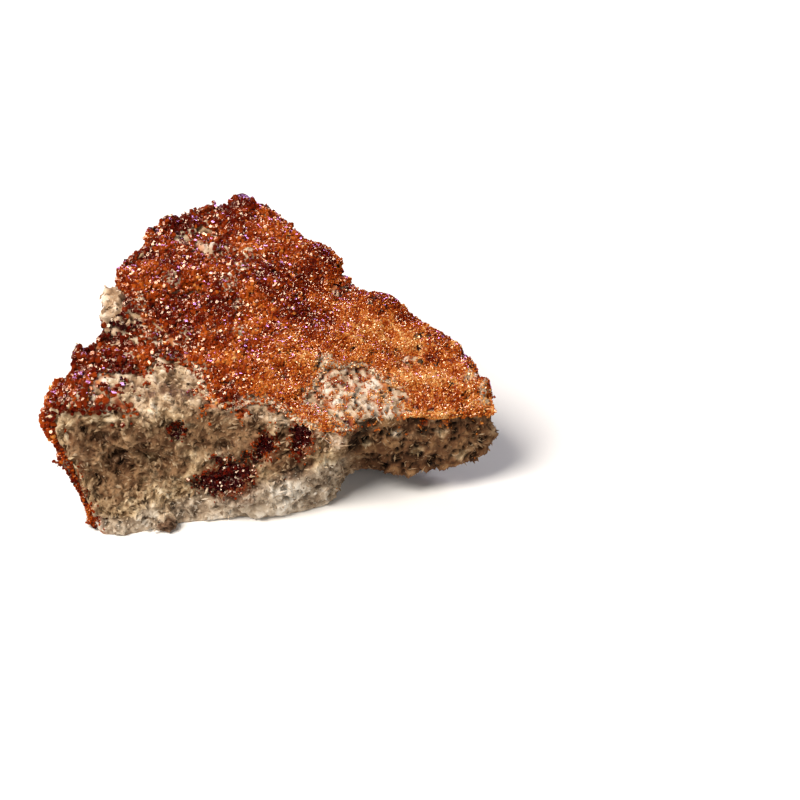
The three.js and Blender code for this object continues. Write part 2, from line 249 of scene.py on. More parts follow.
# Crystals wider than this have bevelled ends. The smaller ones are three pieces, with these borders in X.
BEVELLED_SIZE, BEVEL = 0.8, 0.09
FINE_MIDDLE_X = (-10, 14)

# How crystals stand: how far they lean, and how many widths their middle is over the seat
CRUST_STANCE, STRAY_STANCE, POCKET_STANCE = (0.8, 0.12), (0.6, 0.15), (0.7, -0.1)

# Stray crystals on the rock: how far they reach, how dense they are, and where there are none
STRAY_REACH, POCKET_STRAY_REACH = 2.4, 1.5
POCKET_STRAYS, POCKET_WALL_STRAYS, TERRACE_STRAYS, LONE_STRAYS = 0.6, 0.8, 0.9, 0.0003
KNOB_SKIRT, SKIRT_STRAYS = 12, 0.5
STRAY_LOW_Z, STRAY_LEAST_UPWARD, STRAY_FROM_CRUST = 1.5, -0.5, 0.5
STRAY_SIZE, STRAY_SPACING, STRAY_TONE_SPREAD = (0.6, 1.0), 0.7, 0.1
# Strays near the pockets and in the red hollows are darker: painted shade of the hollows
POCKET_STRAY_DARKER, POCKET_STRAY_DARK_REACH = 0.5, 2

# Crystals of the pockets, on the open side of linings that are set back a little from the solids
POCKETS = ("vug_crystals_lower", "vug_crystals_middle", "vug_crystals_cleft")
# Linings and pocket crystals get nearly the darkest tone: dark red crystals with painted shade of the
# pocket
LINING_FACE, LINING_SMOOTHINGS, LINING_SINK, LINING_TONE = 0.32, 2, 0.8, 0.02
POCKET_FACING_Y = 0.3
POCKET_SIZE, POCKET_SPACING = (0.4, 0.9), 0.8
POCKET_TONE, POCKET_TONE_SPREAD = 0.03, 0.05

# Patterns of the materials. The rock's grain, the dust's facets and the growth steps of crystals are finer
# than a pixel, so they are drawn as coarse as they need to show.
ROCK_GRAIN, ROCK_CLOUDS, ROCK_GRAIN_STEP = 1.6, 7, 0.5
BARE_GRAIN, DUST_FACET, DUST_FACET_TILT = 0.9, 0.35, 1.4
GROWTH_STEP, GROWTH_STEP_HEIGHT = 0.25, 0.12

# How much the rock's grain and its relief count beside its clouds, so that the rock is darker where its
# relief dips
GRAIN_WEIGHT, RELIEF_WEIGHT = 1.1, 0.45

# Tones from the darkest to the lightest: a place on the ramp and a colour
CREAM_ROCK = ((0.0, 0x322212), (0.25, 0x765A3C), (0.5, 0xAC906C), (0.75, 0xD0B894), (1.0, 0xE6D6BA))
# Pale rock, which also carries the painted light of the faces that look up
PALE_AND_LIT_ROCK = ((0.0, 0x6A4C34), (0.3, 0xA68668), (0.6, 0xD0B69C), (1.0, 0xF0E6DA))
CLEAN_ROCK = ((0.0, 0x5E4C3C), (0.3, 0x98846E), (0.6, 0xC0B09C), (1.0, 0xE4DCD0))
# Browns of the iron stain, also used for the painted shade on the wing's steep sides
IRON_STAIN_AND_SHADE = ((0.0, 0x1A0E07), (0.5, 0x563016), (1.0, 0x90663A))
RED_DUST = ((0.0, 0x300A06), (0.5, 0x8A3A14), (1.0, 0xC88048))
# Painted shade in the pits, the hollows and on the pocket walls
PIT_SHADE_COLOUR = 0x140C07
BARE_ROCK = ((0.3, 0x80624A), (0.5, 0xC8AC8C), (0.7, 0xEEE0CC))
VANADINITE = (
    (0.0, 0x26060A), (0.15, 0x5E1408), (0.4, 0x92360E), (0.6, 0xB4581C), (0.8, 0xCE8440), (1.0, 0xDEAE70))

# Sockets of a mix of two colours, which go by number because its other kinds share their names
FIRST_COLOUR, SECOND_COLOUR, MIXED_COLOUR = 6, 7, 2


# Helpers

def smoothstep(low, high, value):
    """From 0 at the low value to 1 at the high one, with soft ends."""
    share = np.clip((value - low) / (high - low), 0.0, 1.0)
    return share * share * (3 - 2 * share)


def blend(first, second, share):
    return first + (second - first) * share


def fading(distances, reach):
    """From 1 at no distance to almost 0 at twice the reach."""
    return np.exp(-(distances / reach) ** 2)


def linear(hex_colour):
    """An sRGB hex colour as linear red, green, blue and alpha."""
    channels = [((hex_colour >> shift) & 255) / 255 for shift in (16, 8, 0)]
    return [c / 12.92 if c <= 0.04045 else ((c + 0.055) / 1.055) ** 2.4 for c in channels] + [1.0]


def add(tree, kind, inputs=None, stops=(), **settings):
    """Adds a node. An input is a value or a socket to link, and a stop is a place and a colour."""
    made = tree.nodes.new(kind)
    for name, value in settings.items():
        setattr(made, name, value)
    for name, value in (inputs or {}).items():
        if isinstance(value, bpy.types.NodeSocket):
            tree.links.new(value, made.inputs[name])
        else:
            made.inputs[name].default_value = value
    for i, (place, colour) in enumerate(stops):
        elements = made.color_ramp.elements
        stop = elements[i] if i < 2 else elements.new(1.0)
        stop.position = place
        stop.color = linear(colour)
    return made


def new_material(name):
    material = bpy.data.materials.new(name)
    material.use_nodes = True
    material.node_tree.nodes.clear()
    return material, material.node_tree


def link_object(name, data):
    made = bpy.data.objects.new(name, data)
    bpy.context.scene.collection.objects.link(made)
    return made


def fine_copy(name, node, face, smoothings):
    """A node's form in fine, even faces, with its facets and edges rounded a little."""
    made = link_object(name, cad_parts[node].data.copy())
    made.data.materials.clear()
    remesh = made.modifiers.new("even faces", "REMESH")
    remesh.mode = "VOXEL"
    remesh.voxel_size = face * MM
    smooth = made.modifiers.new("rounding", "SMOOTH")
    smooth.iterations = smoothings
    graph = bpy.context.evaluated_depsgraph_get()
    mesh = bpy.data.meshes.new_from_object(made.evaluated_get(graph))
    made.modifiers.clear()
    made.data = mesh
    mesh.shade_smooth()
    return made


def copies(name, points, faces):
    """One object of many closed forms, from the corners of each and the faces that they all have."""
    points[:, :, 2] = np.maximum(points[:, :, 2], 0.0)
    count, each, _ = points.shape
    all_faces = [[i * each + corner for corner in face] for i in range(count) for face in faces]
    mesh = bpy.data.meshes.new(name)
    mesh.from_pydata((points.reshape(-1, 3) * MM).tolist(), [], all_faces)
    mesh.update()
    return link_object(name, mesh)


def corners(mesh):
    """Places and normals of a mesh's corners, in millimetres."""
    count = len(mesh.vertices)
    places = np.empty(count * 3, np.float32)
    normals = np.empty(count * 3, np.float32)
    mesh.vertices.foreach_get("co", places)
    mesh.vertices.foreach_get("normal", normals)
    return places.reshape(-1, 3).astype(float) / MM, normals.reshape(-1, 3).astype(float)


def set_corners(mesh, places):
    mesh.vertices.foreach_set("co", (places * MM).astype(np.float32).ravel())
    mesh.update()


def set_values(mesh, name, values):
    """Values of a mesh's corners that a material reads by their name."""
    attribute = mesh.attributes.new(name, "FLOAT", "POINT")
    attribute.data.foreach_set("value", np.asarray(values, np.float32))


def tree_of(mesh):
    """A search tree of a mesh's surface, in millimetres."""
    places, _ = corners(mesh)
    return BVHTree.FromPolygons(places.tolist(), [list(face.vertices) for face in mesh.polygons])


def distances_outside(tree, places):
    """Distance of each place from a solid, 0 inside it, or the longest reach where it is farther."""
    least_cosine = 0.8
    distances = np.full(len(places), LONGEST_REACH)
    for i, place in enumerate(places.tolist()):
        spot, normal, _, distance = tree.find_nearest(place, LONGEST_REACH)
        if spot is not None:
            inside = (Vector(place) - spot).dot(normal) < -least_cosine * distance
            distances[i] = 0.0 if inside else distance
    return distances


def distances_between(places, others):
    """Distance of each place from the nearest of the others."""
    tree = KDTree(len(others))
    for i, other in enumerate(others):
        tree.insert(other, i)
    tree.balance()
    return np.array([tree.find(place)[2] for place in places])


def thin_out(places, spacings):
    """Picks of a shuffled list of places that keep their own spacing from one another."""
    tree = KDTree(len(places))
    for i, place in enumerate(places):
        tree.insert(place, i)
    tree.balance()
    dropped = np.zeros(len(places), bool)
    picks = []
    for i, place in enumerate(places):
        if dropped[i]:
            continue
        picks.append(i)
        for _, other, _ in tree.find_range(place, spacings[i]):
            dropped[other] = True
    return np.array(picks)


def unit(vectors):
    return vectors / np.linalg.norm(vectors, axis=1, keepdims=True)


def waves(places, length, height=1.0):
    """Smooth noise at each place, up to about the height either way."""
    return height * np.array([noise.noise(Vector(place) / length) for place in places.tolist()])


# Regions of the specimen, each from 0 to 1

def spot_share(places, spots):
    """In a list of spots with ragged borders."""
    ragged = waves(places, *SPOT_RAGGED)
    share = np.zeros(len(places))
    for *middle, radius in spots:
        away = np.linalg.norm(places[:, :len(middle)] - middle, axis=1) / radius + ragged
        share = np.maximum(share, 1 - smoothstep(*SPOT_BORDER, away))
    return share


def on_crown_spots(places):
    """On the crown's bare spots, where rock stands through the crust."""
    return spot_share(places, PALE_SPOTS) * (places[:, 1] > CROWN_Y)


def on_knob(places):
    """On the bare knob to the left of the upper rim."""
    away = np.linalg.norm(places - KNOB_MIDDLE, axis=1) / KNOB_RADIUS
    return (1 - smoothstep(*KNOB_BORDER, away)) * (places[:, 2] > KNOB_FOOT_Z[1])


def on_terrace(places, margin=1.0):
    """On the bare terrace, or with a margin also round it."""
    along_x = (places[:, 0] - TERRACE_MIDDLE[0]) / TERRACE_RADII[0]
    along_y = (places[:, 1] - TERRACE_MIDDLE[1]) / TERRACE_RADII[1]
    away = np.hypot(along_x, along_y) / margin
    return (1 - smoothstep(*TERRACE_BORDER, away)) * (places[:, 2] > TERRACE_LOW_Z)


def on_wing(places):
    """On the wing at the right, whose steep broken sides get brown painted shade."""
    return smoothstep(*WING_X, places[:, 0] + waves(places, *WING_RAGGED))


def on_foot(places):
    """On the clean foot of the front."""
    line = FOOT_LINE_Z + FOOT_LINE_SLOPE * np.clip(places[:, 0] - FOOT_LINE_X, 0, FOOT_LINE_RUN)
    above = places[:, 2] - line + waves(places, *FOOT_RAGGED)
    return FOOT_CLEAN * (1 - smoothstep(*FOOT_BORDER, above)) * (1 - on_wing(places))


def on_flank(places):
    """Low on the left flank, where the crust is thin."""
    return (1 - smoothstep(*FLANK_Z, places[:, 2])) * (places[:, 0] < FLANK_X)


def on_shoulder(places):
    """On the left shoulder, where the crystals are the largest and darkest."""
    share = (1 - smoothstep(*SHOULDER_X, places[:, 0])) * (1 - smoothstep(*SHOULDER_Y, places[:, 1]))
    return share * (1 - on_flank(places))


def in_clumps(places):
    """In the clumps in which crystals and dust lie on the rock."""
    terrace = on_terrace(places)
    low = -TERRACE_CLUMP_GROWTH * terrace
    clumps = waves(places, CLUMP_LENGTH) * (1 - terrace) + waves(places, TERRACE_CLUMP_LENGTH) * terrace
    return smoothstep(low, low + CLUMP_BORDER, clumps)


def fineness(places):
    """From coarse crystals at the upper left to fine ones at the lower right and low on the left flank."""
    finer = smoothstep(*FINE_SIDE, places[:, 0] - FINE_SIDE_SLOPE * places[:, 1])
    return np.maximum(finer, FLANK_FINENESS * on_flank(places))


# Host rock

def mound_rise(places, mounds):
    """How far a list of mounds lifts each place."""
    rise = np.zeros(len(places))
    for middle, radius, height in mounds:
        away = np.linalg.norm(places - middle, axis=1) / radius
        rise += height * (1 - smoothstep(*MOUND_SLOPE, away))
    return rise


def broken_faces(point):
    """Height of the small broken faces of two sizes, each tilted its own way."""
    height = 0.0
    for size, steepness in BROKEN_FACES:
        scaled = point / size
        _, middles = noise.voronoi(scaled)
        tilt = noise.cell_vector(middles[0] * TILT_MIXER) - Vector((0.5, 0.5, 0.5))
        height += steepness * tilt.dot(scaled - middles[0])
    return height


def break_heights(places):
    """Relief of the break: lumps, tilted faces and grit, lower on the wing."""
    faces = np.array([broken_faces(Vector(place)) for place in places.tolist()])
    heights = waves(places, *ROCK_LUMPS) + faces + waves(places, *GRIT)
    return heights * blend(1, WING_RELIEF, on_wing(places))


def pit_cell(point):
    """Distance from the wall between two cells of a random net, and a random number for the cell."""
    bent = point + PIT_BEND * noise.noise_vector(point / PIT_BEND_LENGTH)
    distances, middles = noise.voronoi(bent / PIT_SPACING)
    return distances[1] - distances[0], noise.cell(middles[0] * PIT_MIXER) * 0.5 + 0.5


def pit_depths(places):
    """Open cells of the net of pits, from 0 to 1."""
    walls, chances = np.array([pit_cell(Vector(place)) for place in places.tolist()]).T
    terrace = on_terrace(places)
    share = blend(PIT_SHARE, WING_PIT_SHARE, on_wing(places) * (1 - terrace))
    share = np.maximum(share, TERRACE_PIT_SHARE * terrace)
    depths = smoothstep(*PIT_WALL, walls + waves(places, *PIT_WALL_RAGGED))
    return depths * (chances < share) * (1 - on_knob(places))


def pale_share(places, normals):
    """Where the rock is pale, from 0 to 1: on its upper side, lit paler as painted light, its knob and its
    lip.
    """
    cloudy = blend(UPPER_PALE, TERRACE_PALE, on_terrace(places)) + waves(places, *PALE_CLOUDS)
    # Painted light: paler the more the faces look up
    upper = smoothstep(*UPWARD, normals[:, 2]) * (places[:, 2] > UPPER_LOW_Z) * cloudy
    upper = np.maximum(upper, on_crown_spots(places))
    return np.maximum.reduce([upper, KNOB_PALE * on_knob(places), LIP_PALE * spot_share(places, LIP)])


def stain_and_shade_share(places, normals):
    """Where iron stains the rock brown, and where the wing's steep sides get brown painted shade, from 0 to
    1.
    """
    steep = 1 - smoothstep(*UPWARD, normals[:, 2])
    spots = np.maximum(spot_share(places, BROWN_SPOTS), spot_share(places, RED_HOLLOWS))
    # The wing's steep sides get brown painted shade
    stained_and_shaded = np.maximum(BROWN_SPOT_STAIN * spots, WING_PAINTED_SHADE * on_wing(places) * steep)
    return stained_and_shaded * (1 - spot_share(places, LIP))


def dust_share(places, to_crust, to_pocket):
    """Where red crystal dust lies on the rock, beside the crust and round the pockets, from 0 to 1."""
    bare = [TERRACE_DUST * on_terrace(places), LIP_DUST * spot_share(places, LIP)]
    beside = np.maximum.reduce([fading(to_crust, CRUST_DUST_REACH), *bare])
    beside *= in_clumps(places) * (1 - on_knob(places))
    return np.maximum(beside, POCKET_DUST * fading(to_pocket, POCKET_DUST_REACH))


def make_rock(crust_tree, pocket_trees):
    """The host rock with its break, pits and hollows. Its material reads the values that are set here."""
    rock = fine_copy("host_rock", "matrix", ROCK_FACE, ROCK_SMOOTHINGS)
    places, normals = corners(rock.data)
    heights = break_heights(places)
    pits = pit_depths(places)
    wing, terrace = on_wing(places), on_terrace(places)
    hollows = spot_share(places, DARK_HOLLOWS)
    to_crust = distances_outside(crust_tree, places)
    to_pocket = np.minimum.reduce([distances_outside(tree, places) for tree in pocket_trees])

    rise = heights - PIT_DEPTH * pits - RED_HOLLOW_DEPTH * spot_share(places, RED_HOLLOWS)
    rise -= DARK_HOLLOW_DEPTH * hollows
    rise += CROWN_SPOT_HEIGHT * on_crown_spots(places) + mound_rise(places, KNOB)
    rise += TERRACE_RISE * terrace * smoothstep(*TERRACE_RISE_BORDER, to_crust)
    rise = np.where(to_crust > BARE_FROM, rise, np.minimum(rise, -BURIED_DEPTH))
    rise *= smoothstep(*GROUND_BORDER, places[:, 2])
    places += normals * rise[:, None]
    places[:, 2] = np.maximum(places[:, 2], 0.0)
    set_corners(rock.data, places)

    # Painted light on the crown's spots; the terrace is made brighter as well
    brighter = CROWN_SPOT_BRIGHTER * on_crown_spots(places) + TERRACE_BRIGHTER * terrace
    # Painted shade in the pits, the hollows and on the pocket walls
    dark = np.maximum.reduce([
        pits * blend(PIT_SHADE, WING_PIT_SHADE, np.maximum(wing, terrace)),
        RED_HOLLOW_SHADE * spot_share(places, RED_HOLLOWS),
        DARK_HOLLOW_SHADE * hollows,
        POCKET_WALL_SHADE * fading(to_pocket, POCKET_WALL)])
    set_values(rock.data, "height", heights + brighter)
    set_values(rock.data, "painted_shade", dark)
    set_values(rock.data, "stain_and_shade", stain_and_shade_share(places, normals))
    set_values(rock.data, "pale", pale_share(places, normals))
    set_values(rock.data, "foot", on_foot(places))
    set_values(rock.data, "dust", dust_share(places, to_crust, to_pocket))
    return rock, places, normals, to_crust, to_pocket


def make_chips(places, normals):
    """Loose chips and splinters of the break, which lie much the same way within a patch."""
    open_seats = (places[:, 2] > CHIP_LOW_Z) & (normals[:, 2] > CHIP_LEAST_UPWARD)
    seats = rng.permutation(np.flatnonzero(open_seats))
    grades = np.minimum(np.exp(rng.normal(size=len(seats)) * CHIP_VARIETY), LARGEST_CHIP)
    picks = thin_out(places[seats], grades * CHIP_SPACING)
    places, normals, grades = places[seats[picks]], normals[seats[picks]], grades[picks]
    count = len(picks)

    lays = np.array([noise.noise_vector(Vector(place) / CHIP_PATCH) for place in places.tolist()])
    axes = lays + rng.normal(size=(count, 3)) * CHIP_SCATTER
    axes -= normals * np.sum(axes * normals, axis=1, keepdims=True) * CHIP_FLATNESS
    axes = unit(axes)
    across = unit(np.cross(axes, normals + rng.normal(size=(count, 3)) * CHIP_ROLL))
    turned = np.stack([axes, across, np.cross(axes, across)], 1)

    ragged = CHIP_FORM[None] + rng.normal(size=(count, len(CHIP_FORM), 3)) * CHIP_RAGGEDNESS
    ranges = (CHIP_LENGTH, CHIP_WIDTH, CHIP_THICKNESS)
    sizes = np.stack([rng.uniform(low, high, count) for low, high in ranges], 1)
    sizes *= grades[:, None] * blend(1, WING_CHIP, on_wing(places)[:, None])
    sizes *= blend(1, LIP_CHIP, spot_share(places, LIP)[:, None])
    points = np.einsum("nvk,nkj->nvj", ragged * sizes[:, None], turned) + places[:, None]
    chips = copies("rock_chips", points, CHIP_FACES)

    values = {
        "height": np.clip(rng.normal(size=count) * CHIP_TONE_SPREAD, *CHIP_TONES),
        "stain_and_shade": stain_and_shade_share(places, normals) * rng.uniform(*CHIP_STAIN_AND_SHADE, count),
        "pale": pale_share(places, normals),
        "foot": on_foot(places)}
    for name, each in values.items():
        set_values(chips.data, name, np.repeat(each, len(CHIP_FORM)))
    return chips


# Crust

def ridges(places):
    """Low ridges that run along the crust, from about -1 to 1."""
    return waves(places * (RIDGE_SPACING / RIDGE_LENGTH, 1, 1), RIDGE_SPACING)


def crust_tone(places):
    """Tone of the crust from 0, dark red, to 1, pale orange: paler to the right, in cloudy patches."""
    # Lumps and ridges of the tone follow those of the sheet: painted shade in the valleys
    clouds = waves(places, *TONE_CLOUDS) + waves(places, *TONE_LUMPS) + RIDGE_TONE * ridges(places)
    paler = smoothstep(*PALE_SIDE, places[:, 0] - PALE_SIDE_SLOPE * places[:, 1])
    darker = DARK_SPOT_TONE * spot_share(places, DARK_SPOTS) + SHOULDER_DARKER * on_shoulder(places)
    return DARK_SIDE_TONE + PALE_SIDE_LIFT * paler + clouds - darker


def front_fade(places, to_edge):
    """Where the crust fades into pale rock along its front edge, from 0 to 1."""
    fade = 1 - smoothstep(*FADE_WIDTH, to_edge + waves(places, *FADE_RAGGED))
    shoulder = (1 - smoothstep(*SHOULDER_FRONT_Y, places[:, 1])) * (places[:, 2] > SHOULDER_FRONT_Z)
    start = np.maximum(smoothstep(*FADE_START_X, places[:, 0]), shoulder)
    fade *= (1 - smoothstep(*FADE_END_X, places[:, 0])) * start
    fade *= 1 - smoothstep(*FADE_END_Y, places[:, 1] + FADE_LEFT_SHIFT * (places[:, 0] < 0))
    return fade


def make_sheet(cad_rock, broken_rock):
    """The ground of the crust, a little under the crystal tips. Its inner side runs into the rock."""
    sheet = fine_copy("druse_sheet", "vanadinite_druse", SHEET_FACE, SHEET_SMOOTHINGS)
    places, normals = corners(sheet.data)
    rock_normals = np.array([cad_rock.find_nearest(place)[1] for place in places.tolist()])
    outward = np.sum(rock_normals * normals, axis=1)
    outer = smoothstep(*OUTER_SIDE, outward)
    inner = 1 - smoothstep(*INNER_SIDE, outward)
    edge = (np.abs(outward) < OUTER_SIDE[1]) & (rock_normals[:, 2] > EDGE_LEAST_UPWARD)
    to_edge = distances_between(places, places[edge])

    edge_thinning = blend(EDGE_THINNING, TERRACE_RIM_THINNING, on_terrace(places, TERRACE_RIM))
    thin = edge_thinning * (1 - smoothstep(0.0, EDGE_WIDTH, to_edge)) + FLANK_THINNING * on_flank(places)
    spots = spot_share(places, PALE_SPOTS) * outer
    pale = np.maximum(spots, front_fade(places, to_edge))
    specks = places[rng.permutation(np.flatnonzero(outer > SPECK_OUTER_SIDE))[:SPECKS]]
    speck = 1 - smoothstep(0.5 * SPECK_RADIUS, SPECK_RADIUS, distances_between(places, specks))

    relief = waves(places, *CRUST_LUMPS) + RIDGE_HEIGHT * ridges(places) + mound_rise(places, MOUNDS)
    rise = np.maximum(relief, -DEEPEST_VALLEY) + pale * waves(places, *PALE_BUMPS) + PALE_SPOT_LIFT * spots
    rise -= SHEET_SINK + thin + SPECK_DEPTH * speck
    places += normals * (outer * rise + inner * SHEET_OVERLAP)[:, None]
    places[:, 2] = np.maximum(places[:, 2], SHEET_LOW_Z)
    set_corners(sheet.data, places)
    # The ground between the crystals is darkened: painted shade
    ground = np.maximum(crust_tone(places) - GROUND_DARKER, DARKEST_GROUND)
    set_values(sheet.data, "tone", ground - speck)
    set_values(sheet.data, "pale", pale * (1 - speck))

    found = [broken_rock.find_nearest(place) + (place,) for place in places.tolist()]
    above = np.array([(Vector(place) - spot).dot(normal) for spot, normal, _, _, place in found])
    return sheet, above > SHEET_OPEN_FROM, np.maximum(pale, speck)


# Crystals

def ring(radius, height):
    angles = np.arange(6) * math.pi / 3
    return np.stack([radius * np.cos(angles), radius * np.sin(angles), np.full(6, height)], 1)


def crystal_form(bevel):
    """Corners and faces of a six-sided crystal, one unit wide and high, its ends cut back by a bevel."""
    levels = [(-0.5, 0.5), (0.5, 0.5)]
    if bevel:
        levels = [(-0.5, 0.5 - bevel), (bevel - 0.5, 0.5), (0.5 - bevel, 0.5), (0.5, 0.5 - bevel)]
    rings = [ring(radius, height) for height, radius in levels]
    top = 6 * (len(rings) - 1)
    faces = [list(range(5, -1, -1))]
    for low in range(0, top, 6):
        for side in range(6):
            after = (side + 1) % 6
            faces.append([low + side, low + after, low + 6 + after, low + 6 + side])
    faces.append(list(range(top, top + 6)))
    return np.concatenate(rings), faces


def frames_along(axes):
    """For each axis a turned frame whose third row lies along it."""
    first = unit(np.cross(axes, rng.normal(size=axes.shape)))
    return np.stack([first, np.cross(axes, first), axes], 1)


def grow_crystals(name, places, normals, sizes, tones, bevel, lean, stand):
    """One piece of many crystals, each leaning from the normal of its seat."""
    count = len(places)
    axes = unit(normals + rng.normal(size=(count, 3)) * lean)
    turned = frames_along(axes)
    form, faces = crystal_form(bevel)
    lengths = sizes * rng.uniform(*CRYSTAL_LENGTH, count)
    scaled = form[None] * np.stack([sizes, sizes, lengths], 1)[:, None]
    middles = places + normals * (sizes * stand)[:, None]
    points = np.einsum("nvk,nkj->nvj", scaled, turned) + middles[:, None]
    crystals = copies(name, points, faces)
    set_values(crystals.data, "tone", np.repeat(tones, len(form)))
    return crystals


def random_sizes(places):
    """Widths of crystals, most of them near the low end of their place's range."""
    fine = fineness(places)
    low = blend(COARSE_SIZE[0], FINE_SIZE[0], fine)
    high = blend(COARSE_SIZE[1], FINE_SIZE[1], fine)
    sizes = low + (high - low) * rng.random(len(fine)) ** SMALL_BIAS
    return sizes * (1 + SHOULDER_GROWTH * on_shoulder(places))


def random_seats(mesh, is_open, bare):
    """Random places on a mesh's open four-sided faces, the normals there and how bare the ground is."""
    places, normals = corners(mesh)
    faces = np.array([face.vertices[:] for face in mesh.polygons if len(face.vertices) == 4])
    faces = faces[is_open[faces].all(axis=1)]
    chosen = faces[rng.integers(len(faces), size=CRYSTAL_SEATS)]
    u, v = rng.random((2, CRYSTAL_SEATS))
    shares = np.stack([(1 - u) * (1 - v), u * (1 - v), u * v, (1 - u) * v], 1)
    seat_places = (places[chosen] * shares[:, :, None]).sum(axis=1)
    seat_normals = unit((normals[chosen] * shares[:, :, None]).sum(axis=1))
    return seat_places, seat_normals, (bare[chosen] * shares).sum(axis=1)


def make_crystals(sheet, is_open, bare):
    """The crystals of the crust: the large ones with bevelled ends, and the small ones in three pieces."""
    places, normals, bare = random_seats(sheet.data, is_open, bare)
    grown = (places[:, 2] > CRYSTAL_LOW_Z) & (bare < rng.random(CRYSTAL_SEATS) * BAREST_SEAT)
    places, normals = places[grown], normals[grown]
    sizes = random_sizes(places)
    picks = thin_out(places, sizes * CRYSTAL_SPACING)
    places, normals, sizes = places[picks], normals[picks], sizes[picks]
    spread = TONE_SPREAD + FINE_TONE_SPREAD * fineness(places)
    tones = crust_tone(places) + rng.normal(size=len(picks)) * spread
    tones = np.maximum(tones, DARKEST_CRYSTAL) + HONEY_LIFT * (rng.random(len(picks)) < HONEY_SHARE)
    coarse = sizes > BEVELLED_SIZE
    left, right = places[:, 0] < FINE_MIDDLE_X[0], places[:, 0] > FINE_MIDDLE_X[1]
    groups = (
        ("druse_crystals_coarse", coarse, BEVEL),
        ("druse_crystals_fine_left", ~coarse & left, 0),
        ("druse_crystals_fine_middle", ~coarse & ~left & ~right, 0),
        ("druse_crystals_fine_right", ~coarse & right, 0))
    pieces = []
    for name, chosen, bevel in groups:
        seats = (places[chosen], normals[chosen], sizes[chosen], tones[chosen])
        pieces.append(grow_crystals(name, *seats, bevel, *CRUST_STANCE))
    return pieces


def stray_chance(places, normals, to_crust, to_pocket):
    """How likely a crystal stands on the rock, from 0 to 1."""
    x, y, z = places.T
    upward = normals[:, 2]
    chance = fading(to_crust, STRAY_REACH) + POCKET_STRAYS * fading(to_pocket, POCKET_STRAY_REACH)
    chance = chance + TERRACE_STRAYS * on_terrace(places) + LONE_STRAYS
    crown = (y > CROWN_Y) & (upward > CROWN_LEAST_UPWARD)
    knob_foot = (x < KNOB_FOOT_X) & (y > KNOB_FOOT_Y[0]) & (y < KNOB_FOOT_Y[1])
    knob_foot &= (z > KNOB_FOOT_Z[0]) & (z < KNOB_FOOT_Z[1])
    red = spot_share(places, RED_HOLLOWS)
    wall = POCKET_WALL_STRAYS * fading(to_pocket, POCKET_WALL)
    skirt = SKIRT_STRAYS * (np.linalg.norm(places - KNOB_MIDDLE, axis=1) < KNOB_SKIRT)
    chance = np.maximum.reduce([chance * in_clumps(places), crown | knob_foot, red, wall, skirt])
    chance *= (1 - on_knob(places)) * (1 - spot_share(places, PALE_SPOTS))
    return chance * (z > STRAY_LOW_Z) * (upward > STRAY_LEAST_UPWARD) * (to_crust > STRAY_FROM_CRUST)


def make_strays(places, normals, to_crust, to_pocket):
    """Single crystals on the rock, most of them at the ragged edge of the crust and round the pockets."""
    chance = stray_chance(places, normals, to_crust, to_pocket)
    seats = rng.permutation(np.flatnonzero(rng.random(len(places)) < chance))
    sizes = random_sizes(places[seats]) * rng.uniform(*STRAY_SIZE, len(seats))
    picks = thin_out(places[seats], sizes * STRAY_SPACING)
    seats, sizes = seats[picks], sizes[picks]
    red = spot_share(places, RED_HOLLOWS)[seats]
    tones = crust_tone(places[seats]) + rng.normal(size=len(seats)) * STRAY_TONE_SPREAD
    # Painted shade near the pockets and in the red hollows
    tones -= POCKET_STRAY_DARKER * np.maximum(np.exp(-to_pocket[seats] / POCKET_STRAY_DARK_REACH), red)
    return grow_crystals("stray_crystals", places[seats], normals[seats], sizes, tones, 0, *STRAY_STANCE)


def make_pocket(node):
    """The lining of a pocket, dark with painted shade, and the crystals grown on its open side."""
    lining = fine_copy(node + "_lining", node, LINING_FACE, LINING_SMOOTHINGS)
    places, normals = corners(lining.data)
    places[:, 1] += LINING_SINK
    set_corners(lining.data, places)
    set_values(lining.data, "tone", np.full(len(places), LINING_TONE))
    seats = rng.permutation(np.flatnonzero(normals[:, 1] < POCKET_FACING_Y))
    sizes = rng.uniform(*POCKET_SIZE, len(seats))
    picks = thin_out(places[seats], sizes * POCKET_SPACING)
    seats, sizes = seats[picks], sizes[picks]
    tones = POCKET_TONE + rng.normal(size=len(seats)) * POCKET_TONE_SPREAD
    grown = (places[seats], normals[seats], sizes, tones)
    return lining, grow_crystals(node + "_grown", *grown, BEVEL, *POCKET_STANCE)


# Materials

